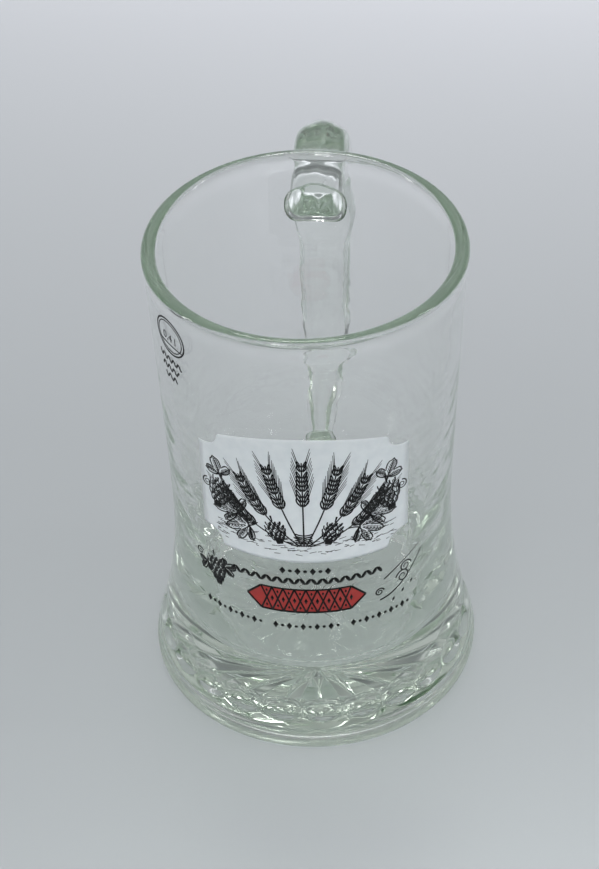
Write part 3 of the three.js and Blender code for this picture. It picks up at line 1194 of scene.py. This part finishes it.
@dataclass
class Garland:
    """Black pen work: a fan of barley between hops, over a strip of stubble.

    What stands at the sides is listed for the right and mirrored to the left.
    """

    ink: InkLayer
    line: float = 0.34
    fine: float = 0.22
    hair: float = 0.14
    grain_size: Point = (1.5, 3.3)
    awn_length: float = 6.5
    grain_lean: float = 0.42
    fan_foot: float = 72.0
    fan_pitch: float = 15.0
    fan_reach: float = 35.5
    fan_droop: float = 1.1
    fan_bow: float = -0.05
    tie_strands: int = 6
    tie_pitch: float = 0.75
    tie_half: float = 2.2
    leaves: tuple[tuple[Point, float, float, int], ...] = (
        ((17.5, 80.5), 8.4, 58, 5),
        ((14.5, 77.0), 7.4, 112, 5),
        ((22.5, 92.0), 5.6, 20, 3),
    )
    cones: tuple[tuple[Point, Point, float], ...] = (
        ((22.0, 91.0), (7.2, 10.5), 10),
        ((8.2, 80.8), (5.4, 7.6), -14),
    )
    tendrils: tuple[tuple[Point, float, float, int, float], ...] = (
        ((27.0, 88.5), 1.7, 1.6, 1, 90),
        ((12.5, 86.5), 1.3, 1.4, -1, -90),
    )
    stubble_span: Point = (68.4, 75.5)
    stubble_half: float = 24.5
    stubble_count: int = 170
    seed: int = 11

    def grain(self, foot: Vector, along: Vector, side: int, shrink: float) -> None:
        """Draws one grain and its awn.

        Args:
            foot: Where the grain sits.
            along: The stalk's direction there.
            side: 1 for the right of the stalk, -1 for the left. The right one is shaded.
            shrink: The grain's share of its full size.
        """
        across = Vector((along.y, -along.x)) * side
        out = (along + across * self.grain_lean).normalized()
        width, length = self.grain_size[0] * shrink, self.grain_size[1] * shrink
        top = foot + out * length
        belly = foot + out * length * 0.45 + across * width * 0.75
        back = foot + out * length * 0.5 - across * width * 0.25
        self.ink.stroke(curve(tuple(foot), tuple(belly), tuple(top), 5), self.line * 1.5, self.line)
        self.ink.stroke(curve(tuple(foot), tuple(back), tuple(top), 4), self.line)
        if side > 0:
            fill = foot + out * length * 0.5 + across * width * 0.3
            lean = math.degrees(math.atan2(out.x, out.y))
            self.ink.spot(tuple(fill), (width * 0.42, length * 0.66), lean, 6)
        tip = top + (along * 0.97 + across * 0.24) * (self.awn_length * shrink)
        middle = top.lerp(tip, 0.5) + along * 0.3
        self.ink.stroke(curve(tuple(top), tuple(middle), tuple(tip), 3), self.fine, 0.12)

    def barley(self, foot: Point, tip: Point, lean: float, grains: int = 9) -> None:
        """Draws one ear of barley on its stalk.

        Args:
            foot: Where the stalk starts.
            tip: Where the ear ends.
            lean: How far the stalk is bowed, as a share of its length.
            grains: The number of grains on each side.
        """
        way = Vector(tip) - Vector(foot)
        middle = Vector(foot) + way * 0.5 + Vector((-way.y, way.x)) * lean
        steps = 40
        stalk = [Vector(p) for p in curve(foot, tuple(middle), tip, steps)]
        self.ink.stroke([tuple(p) for p in stalk[:steps:3]], self.line * 1.3, self.line)
        first, last = 19, steps - 1
        for k in range(grains):
            at = first + round(k * (last - first) / grains)
            along = (stalk[at + 1] - stalk[at]).normalized()
            across = Vector((along.y, -along.x))
            for side in (-1, 1):
                self.grain(stalk[at] + across * side * 0.25, along, side, 1 - 0.35 * k / grains)

    def hop_cone(self, top: Point, size: Point, lean: float, rows: int = 6) -> None:
        """Draws a hanging hop cone of overlapping bracts.

        Args:
            top: Where the cone hangs from.
            size: Its width and length.
            lean: How far it leans from straight down, in degrees.
            rows: The number of rows of bracts.
        """
        turn = Matrix.Rotation(math.radians(lean), 2)

        def at(x: float, y: float) -> Point:
            """Returns the place x across the cone and y down it."""
            return tuple(Vector(top) + turn @ Vector((x, -y)))

        for row in range(rows):
            share = (row + 0.5) / rows
            girth = size[0] * math.sin(math.pi * (0.16 + 0.8 * share) ** 0.9)
            count = 3 if row % 2 == 0 else 4
            tall = size[1] / rows * 1.75
            wide = girth / count * 0.98
            y = size[1] * row / rows
            for k in range(count):
                x = girth * ((k + 0.5) / count - 0.5)
                tip = at(x * 0.94, y + tall)
                for side, weight in ((-1, 1.0), (1, 1.45)):
                    shoulder = at(x + side * wide * 0.5, y + tall * 0.25)
                    bow = at(x + side * wide * 0.55, y + tall * 0.8)
                    self.ink.stroke(curve(shoulder, bow, tip, 5), self.line * weight, self.line)
                self.ink.stroke([at(x, y + tall * 0.45), tip], self.fine)
                crease = [(0.2, 0.4), (0.28, 0.7), (0.08, 0.88)]
                knots = [at(x + wide * right, y + tall * down) for right, down in crease]
                self.ink.stroke(curve(*knots, 3), self.fine)
        self.ink.stroke([at(0, -1.6), at(0, 0.4)], self.line * 1.6, self.line)

    def leaf(self, foot: Point, size: float, lean: float, lobes: int = 5) -> None:
        """Draws a lobed, toothed leaf with veins, hatched on one side.

        Args:
            foot: Where its stalk joins it.
            size: The length of its middle lobe.
            lean: How far it leans from upright, in degrees, clockwise.
            lobes: The number of lobes.
        """
        turn = Matrix.Rotation(-math.radians(lean), 2)
        heart = Vector(foot)
        spread = math.radians(200)

        def edge(share: float) -> Vector:
            """Finds a point of the outline, which runs out to each lobe and has small teeth.

            Args:
                share: How far round the leaf, 0..1.

            Returns:
                The point.
            """
            angle = (share - 0.5) * spread
            wave = abs(math.cos(math.pi * lobes * (share - 0.5))) ** 0.8
            reach = size * (0.42 + 0.58 * wave) * (1 - 0.42 * abs(2 * share - 1) ** 1.5)
            reach *= 1 + 0.05 * math.cos(2 * math.pi * lobes * 4 * share)
            return heart + turn @ Vector((math.sin(angle) * reach, math.cos(angle) * reach))

        count = lobes * 10
        outline = [tuple(edge(k / count)) for k in range(count + 1)]
        self.ink.stroke([foot, *outline, foot], self.line * 1.15)
        for lobe in range(lobes):
            middle = (lobe + 0.5) / lobes
            tip = edge(middle)
            self.ink.stroke([foot, tuple(heart.lerp(tip, 0.93))], self.line * 1.2, self.fine)
            for k in range(1, 7):
                base = heart.lerp(tip, k / 7.5)
                for side, length, weight in ((-1, 0.55, 1.0), (1, 0.85, 1.5)):
                    rim = edge(middle + side * 0.5 / lobes * (1 - k / 8) * 0.9)
                    end = base.lerp(rim, length)
                    self.ink.stroke([tuple(base), tuple(end)], self.fine * weight, self.hair)
        bend = heart + turn @ Vector((0, -size * 0.25))
        end = heart + turn @ Vector((size * 0.12, -size * 0.4))
        self.ink.stroke(curve(foot, tuple(bend), tuple(end), 4), self.line * 1.4, self.line)

    def tendril(self, foot: Point, radius: float, turns: float, side: int, start: float = 0.0) -> None:
        """Draws a tendril that winds in on itself.

        Args:
            foot: Where it starts.
            radius: How far its outer turn is from its middle.
            turns: The number of turns.
            side: 1 to wind clockwise, -1 for the other way.
            start: The angle from its middle to its start, in degrees.
        """
        first = math.radians(start)
        centre = Vector(foot) - Vector((math.cos(first), math.sin(first))) * radius
        count = round(turns * 14)
        points = []
        for k in range(count + 1):
            share = k / count
            angle = first - side * 2 * math.pi * turns * share
            reach = radius * (1 - 0.8 * share)
            points.append(tuple(centre + Vector((math.cos(angle), math.sin(angle))) * reach))
        self.ink.stroke(points, self.line * 1.2, self.fine)

    def stubble(self) -> None:
        """Draws a strip of short strokes that thin out towards its lower edge."""
        pick = random.Random(self.seed)
        for _ in range(self.stubble_count):
            share = pick.random() ** 0.6
            u, v = pick.uniform(-self.stubble_half, self.stubble_half), lerp(*self.stubble_span, share)
            across = pick.uniform(0.6, 2.2) / 2
            rise = pick.uniform(-0.35, 0.35) * across
            self.ink.stroke([(u - across, v - rise), (u + across, v + rise)], self.fine, self.hair)

    def draw(self) -> None:
        """Draws the whole picture, from the middle outwards."""
        for spread in (-3, -2, -1, 0, 1, 2, 3):
            angle = math.radians(spread * self.fan_pitch)
            reach = self.fan_reach - self.fan_droop * abs(spread) ** 1.5
            foot = (spread * 0.5, self.fan_foot)
            tip = (foot[0] + math.sin(angle) * reach, self.fan_foot + math.cos(angle) * reach - 4.5)
            self.barley(foot, tip, self.fan_bow * spread)
        for side in (-1, 1):
            for (u, v), size, lean, lobes in self.leaves:
                self.leaf((side * u, v), size, side * lean, lobes)
            for (u, v), cone_size, lean in self.cones:
                self.hop_cone((side * u, v), cone_size, side * lean)
            for (u, v), radius, turns, way, start in self.tendrils:
                self.tendril((side * u, v), radius, turns, side * way, start)
        for k in range(self.tie_strands):
            v = self.fan_foot + 0.9 + self.tie_pitch * k
            self.ink.stroke(curve((-self.tie_half, v), (0, v - 1.2), (self.tie_half, v), 5), self.line * 1.3)
        self.stubble()


@dataclass(frozen=True)
class LozengeRow:
    """A row of lozenges with dots between them, in one or more groups."""

    height: float
    count: int
    pitch: float
    lozenge: Point
    dot: float
    groups: int = 1
    group_gap: float = 0.0

    def draw(self, ink: InkLayer) -> None:
        """Draws the row.

        Args:
            ink: The layer to draw on.
        """
        for k in range(self.count):
            group = k * self.groups // self.count
            u = (k - (self.count - 1) / 2) * self.pitch + (group - (self.groups - 1) / 2) * self.group_gap
            if k % 2 == 0:
                ink.spot((u, self.height), self.lozenge, corners=4)
            else:
                ink.spot((u, self.height), (self.dot, self.dot))


@dataclass
class Captions:
    """The ornaments round the picture, in black and red straight on the glass."""

    body: GlassBody
    picture: Picture
    band_half: float = 15.5
    band_low: float = 47.4
    band_high: float = 55.6
    band_point: float = 4.0
    band_thickness: float = 0.06
    band_outline: float = 0.62
    band_edge: float = 0.6
    band_cells: int = 8
    lattice_line: float = 0.5
    small_lozenge: Point = (0.7, 1.3)
    large_lozenge: Point = (0.9, 2.2)
    lozenge_inset: float = 1.5
    upper_row: LozengeRow = LozengeRow(62.6, 7, 2.0, (1.7, 2.6), 1.1)
    lower_row: LozengeRow = LozengeRow(42.2, 30, 1.86, (1.5, 2.4), 0.95, groups=3, group_gap=2.4)
    chain_height: float = 58.8
    chain_count: int = 28
    chain_pitch: float = 1.5
    chain_grain: Point = (1.05, 2.7)
    chain_lean: float = 30.0
    flourish_curls: tuple[tuple[Point, float, int], ...] = (
        ((25.4, 52.6), 2.3, 1),
        ((30.6, 55.6), 2.0, -1),
        ((21.6, 50.4), 1.4, -1),
    )
    figure_centre: Point = (-37.8, 129.6)
    figure_size: float = 3.4
    figure_drop: float = 1.4
    fill_line_drop: float = 2.6
    fill_line_half: int = 5
    ring_size: Point = (5.2, 4.6)
    ring_lines: tuple[Point, ...] = ((0.0, 0.3), (0.9, 0.5))
    measure_waves: tuple[Place, ...] = ((121.4, -43.6, -33.4), (118.4, -42.6, -34.6), (115.4, -41.4, -36.0))
    black: FiredEnamel = field(
        default_factory=lambda: FiredEnamel(
            "fired_enamel_black_screen_printed", "#050606", "#0b0c0d", roughness=0.42, ior=1.3
        )
    )
    red: FiredEnamel = field(
        default_factory=lambda: FiredEnamel(
            "fired_enamel_red_screen_printed", "#a82c25", "#9c2823", roughness=0.34
        )
    )

    @property
    def band_middle(self) -> float:
        """Height of the red strip's middle."""
        return (self.band_low + self.band_high) / 2

    def band(self) -> bpy.types.Object:
        """Builds the red strip with pointed ends.

        Returns:
            The finished strip.
        """
        layer = InkLayer(self.body, thickness=self.band_thickness)
        tall = (self.band_high - self.band_low) / 2
        radius = self.body.wall_radius(self.band_middle)

        def place(s: float, t: float) -> Vector:
            """Finds a point of the strip.

            Args:
                s: How far along it, 0..1.
                t: How far up it, 0..1.

            Returns:
                The point.
            """
            x = lerp(-self.band_half, self.band_half, s)
            reach = min((self.band_half - abs(x)) / self.band_point, 1.0) * tall
            return Vector((radius * math.asin(x / radius), self.band_middle + lerp(-reach, reach, t), 0.0))

        placed_grid(62, 10, place, layer.bm)
        bmesh.ops.remove_doubles(layer.bm, verts=layer.bm.verts, dist=1e-4)
        piece = layer.lay("print_red_band", self.red.material(), Slot.RED_ENAMEL)
        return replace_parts(piece, "enamel_band")

    def band_lines(self, ink: InkLayer) -> None:
        """Draws the red strip's black outline and its lattice.

        Args:
            ink: The layer to draw on.
        """
        low, high, middle = self.band_low, self.band_high, self.band_middle
        half = self.band_half + self.band_edge
        inner = half - self.band_point
        right = [(inner, low), (half, middle), (inner, high)]
        corners = [(-inner, low), *right, (-inner, high), (-half, middle)]
        for a, b in zip(corners, corners[1:] + corners[:1]):
            ink.stroke(straight(a, b, max(2, round(math.dist(a, b) / 2))), self.band_outline)
        step = 2 * inner / self.band_cells
        for k in range(self.band_cells):
            u = -inner + step * k
            ink.stroke(straight((u, low), (u + step, high), 4), self.lattice_line)
            ink.stroke(straight((u, high), (u + step, low), 4), self.lattice_line)
            ink.spot((u + step / 2, low + self.lozenge_inset), self.small_lozenge, corners=4)
            ink.spot((u + step / 2, high - self.lozenge_inset), self.small_lozenge, corners=4)
            ink.spot((u + step, middle), self.large_lozenge, corners=4)

    def rows(self, ink: InkLayer) -> None:
        """Draws the rows of grains and lozenges above and below the red strip.

        Args:
            ink: The layer to draw on.
        """
        self.upper_row.draw(ink)
        for k in range(self.chain_count):
            u = (k - (self.chain_count - 1) / 2) * self.chain_pitch
            lean = self.chain_lean if k % 2 == 0 else -self.chain_lean
            ink.spot((u, self.chain_height), self.chain_grain, lean)
        self.lower_row.draw(ink)

    def side_motifs(self, ink: InkLayer) -> None:
        """Draws the small hop on the left and the flourish on the right of the red strip.

        Args:
            ink: The layer to draw on.
        """
        pen = Garland(ink, line=0.4, fine=0.26)
        pen.hop_cone((-26.8, 59.4), (6.4, 9.2), 8, 7)
        pen.leaf((-23.2, 56.6), 4.2, 60, 3)
        pen.leaf((-29.8, 55.0), 3.6, -150, 3)
        pen.tendril((-31.0, 58.0), 1.5, 1.3, -1, 30)
        for place, radius, side in self.flourish_curls:
            pen.tendril(place, radius, 1.6, side, 90 + side * 80)
        ink.stroke(curve((20.4, 47.2), (27.5, 47.8), (34.4, 58.0), 12), 0.55, 0.25)
        ink.stroke(curve((21.6, 54.2), (27.0, 57.4), (33.4, 60.6), 10), 0.45, 0.22)
        for k in range(3):
            ink.spot((24.6 + 3.1 * k, 45.6 + 1.5 * k), (0.8, 1.6), 25, 4)

    def capacity(self, ink: InkLayer) -> None:
        """Draws the measure's figure in its ring, its fill line and three waves, at the left of the rim.

        Args:
            ink: The layer to draw on.
        """
        u, v = self.figure_centre
        ink.figure("0,4 l", self.figure_size, (u, v - self.figure_drop))
        reach = range(-self.fill_line_half, self.fill_line_half + 1)
        ink.stroke([(u + k, v - self.fill_line_drop) for k in reach], 0.4)
        turns = [2 * math.pi * k / 40 for k in range(41)]
        for grow, width in self.ring_lines:
            wide, tall = (size + grow for size in self.ring_size)
            ink.stroke([(u + wide * math.cos(a), v + tall * math.sin(a)) for a in turns], width)
        for level, low, high in self.measure_waves:
            wave = straight((low, level), (high, level), round((high - low) / 0.4))
            ink.stroke([(x, y + 0.8 * math.sin(1.1 * k + y)) for k, (x, y) in enumerate(wave)], 0.6)

    def build(self) -> None:
        """Builds the strip and the black ornaments."""
        self.band()
        black = self.black.material()
        on_glass = InkLayer(self.body)
        self.rows(on_glass)
        self.side_motifs(on_glass)
        self.capacity(on_glass)
        on_glass.lay("print_black_on_glass", black)
        on_band = InkLayer.over(self.body, self.band_thickness)
        self.band_lines(on_band)
        on_band.lay("print_black_on_band", black)
        on_white = InkLayer.over(self.body, self.picture.thickness)
        Garland(on_white).draw()
        on_white.lay("print_black_on_white", black)


@dataclass(frozen=True)
class SoftBox:
    """A rectangular lamp that faces a point, with its places and sizes in metres."""

    name: str
    place: Place
    target: Place
    size: Point
    watts: float
    colour: str = "#ffffff"
    spread: float = 180.0
    mirrored: bool = False

    def hang(self) -> None:
        """Adds the lamp. Glass shows the box itself, as well as its light, only where it is mirrored."""
        data = bpy.data.lights.new(self.name, "AREA")
        data.shape = "RECTANGLE"
        data.size, data.size_y = self.size
        data.energy = self.watts
        data.color = linear(self.colour)[:3]
        data.spread = math.radians(self.spread)
        lamp = bpy.data.objects.new(self.name, data)
        lamp.visible_glossy = lamp.visible_transmission = self.mirrored
        way = Vector(self.target) - Vector(self.place)
        lamp.matrix_world = Matrix.LocRotScale(Vector(self.place), way.to_track_quat("-Z", "Y"), None)
        bpy.context.scene.collection.objects.link(lamp)


@dataclass
class Studio:
    """The plain floor, the soft light and the camera."""

    floor_colour: str = "#a3a8aa"
    floor_radius: float = 8.0
    floor_gap: float = 0.1
    eye: Place = (35.9, -440.8, 471.7)
    forward: Place = (-0.0655, 0.7427, -0.6664)
    up: Place = (-0.0253, 0.6664, 0.7452)
    lens: float = 91.2
    sensor_width: float = 36.0
    bounces: int = 96
    clear_bounces: int = 48
    sky_strength: float = 0.9
    lit_sky: tuple[Stop, ...] = ((0.0, "#a0a2a4"), (0.75, "#f6f7f8"))
    seen_sky: tuple[Stop, ...] = (
        (0.0, "#8c8f92"),
        (0.12, "#6a6d70"),
        (0.35, "#7a7d80"),
        (0.55, "#c8cbcc"),
        (0.9, "#9c9fa0"),
    )
    boxes: tuple[SoftBox, ...] = (
        SoftBox("back_box", (0.05, 0.8, 0.35), (0.02, 0.6, 0.0), (0.9, 0.25), 3.2, "#fff6ff", spread=100.0),
        SoftBox("front_box", (0.2, -0.75, 0.8), (0.1, -0.38, 0.0), (0.15, 0.15), 0.95, spread=40.0),
        SoftBox("left_box", (-1.0, -0.2, 0.5), (0.0, 0.0, 0.07), (0.06, 0.6), 0.9, mirrored=True),
        SoftBox("right_box", (1.0, 0.0, 0.6), (0.0, 0.0, 0.07), (0.06, 0.6), 0.9, mirrored=True),
        SoftBox("ceiling_box", (-0.1, 0.5, 1.2), (0.0, 0.0, 0.1), (0.35, 0.2), 2.2, mirrored=True),
        SoftBox("near_box", (-0.2, -0.6, 1.0), (0.0, 0.0, 0.1), (0.15, 0.12), 1.0, mirrored=True),
    )

    def camera(self) -> None:
        """Sets the camera at the photograph's viewing angle."""
        data = bpy.data.cameras.new("camera")
        data.lens = self.lens
        data.sensor_width = self.sensor_width
        data.clip_start, data.clip_end = 0.01, 50.0
        camera = bpy.data.objects.new("camera", data)
        back = -Vector(self.forward).normalized()
        right = Vector(self.up).cross(back).normalized()
        turn = Matrix((right, back.cross(right), back)).transposed()
        camera.matrix_world = Matrix.LocRotScale(Vector(self.eye) * MM, turn, None)
        bpy.context.scene.collection.objects.link(camera)
        bpy.context.scene.camera = camera

    def floor(self) -> None:
        """Lays the floor: matt paper, pale and without a shine."""
        material, tree, output = new_material("matt_paper_floor")
        paper = add_node(
            tree,
            "ShaderNodeBsdfPrincipled",
            {"Base Color": linear(self.floor_colour), "Roughness": 0.8, "Specular IOR Level": 0.2},
        )
        tree.links.new(paper.outputs["BSDF"], output.inputs["Surface"])
        bm = bmesh.new()
        bmesh.ops.create_circle(bm, cap_ends=True, segments=64, radius=self.floor_radius)
        bmesh.ops.translate(bm, vec=(0, 0, -self.floor_gap * MM), verts=bm.verts)
        mesh = bpy.data.meshes.new("floor")
        bm.to_mesh(mesh)
        bm.free()
        mesh.materials.append(material)
        floor = bpy.data.objects.new("floor", mesh)
        bpy.context.scene.collection.objects.link(floor)

    def sky(self) -> None:
        """Sets the room's light, and the plainer, darker room that shows in the glass."""
        world = bpy.data.worlds.new("room")
        world.use_nodes = True
        tree = world.node_tree
        tree.nodes.clear()
        way = add_node(tree, "ShaderNodeTexCoord").outputs["Generated"]
        height = add_node(tree, "ShaderNodeSeparateXYZ", {"Vector": way}).outputs["Z"]
        rooms = []
        for stops in (self.lit_sky, self.seen_sky):
            ramp = add_node(tree, "ShaderNodeValToRGB", {"Fac": height})
            set_stops(ramp.color_ramp, stops)
            room = add_node(
                tree,
                "ShaderNodeBackground",
                {"Color": ramp.outputs["Color"], "Strength": self.sky_strength},
            )
            rooms.append(room.outputs["Background"])
        path = add_node(tree, "ShaderNodeLightPath").outputs
        by_glass = add_node(
            tree,
            "ShaderNodeMath",
            {0: path["Is Glossy Ray"], 1: path["Is Transmission Ray"]},
            operation="MAXIMUM",
        )
        both = add_node(
            tree, "ShaderNodeMixShader", {"Fac": by_glass.outputs["Value"], 1: rooms[0], 2: rooms[1]}
        )
        output = add_node(tree, "ShaderNodeOutputWorld")
        tree.links.new(both.outputs["Shader"], output.inputs["Surface"])
        bpy.context.scene.world = world

    def build(self) -> None:
        """Builds the whole stage and lets light through many layers of glass."""
        self.camera()
        self.floor()
        self.sky()
        for box in self.boxes:
            box.hang()
        scene = bpy.context.scene
        scene.view_settings.view_transform = "Standard"
        scene.cycles.max_bounces = self.bounces
        scene.cycles.transmission_bounces = self.bounces
        scene.cycles.glossy_bounces = self.bounces
        scene.cycles.transparent_max_bounces = self.clear_bounces
        scene.cycles.caustics_reflective = False
        scene.cycles.caustics_refractive = False


def main() -> None:
    """Builds the stage and the mug's pieces in order and reports each piece."""
    logging.basicConfig(level=logging.INFO, format="%(message)s")
    Studio().build()
    body = GlassBody()
    body.build()
    Handle(body).build()
    picture = Picture(body)
    picture.build()
    Captions(body, picture).build()
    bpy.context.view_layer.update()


if __name__ == "__main__":
    main()
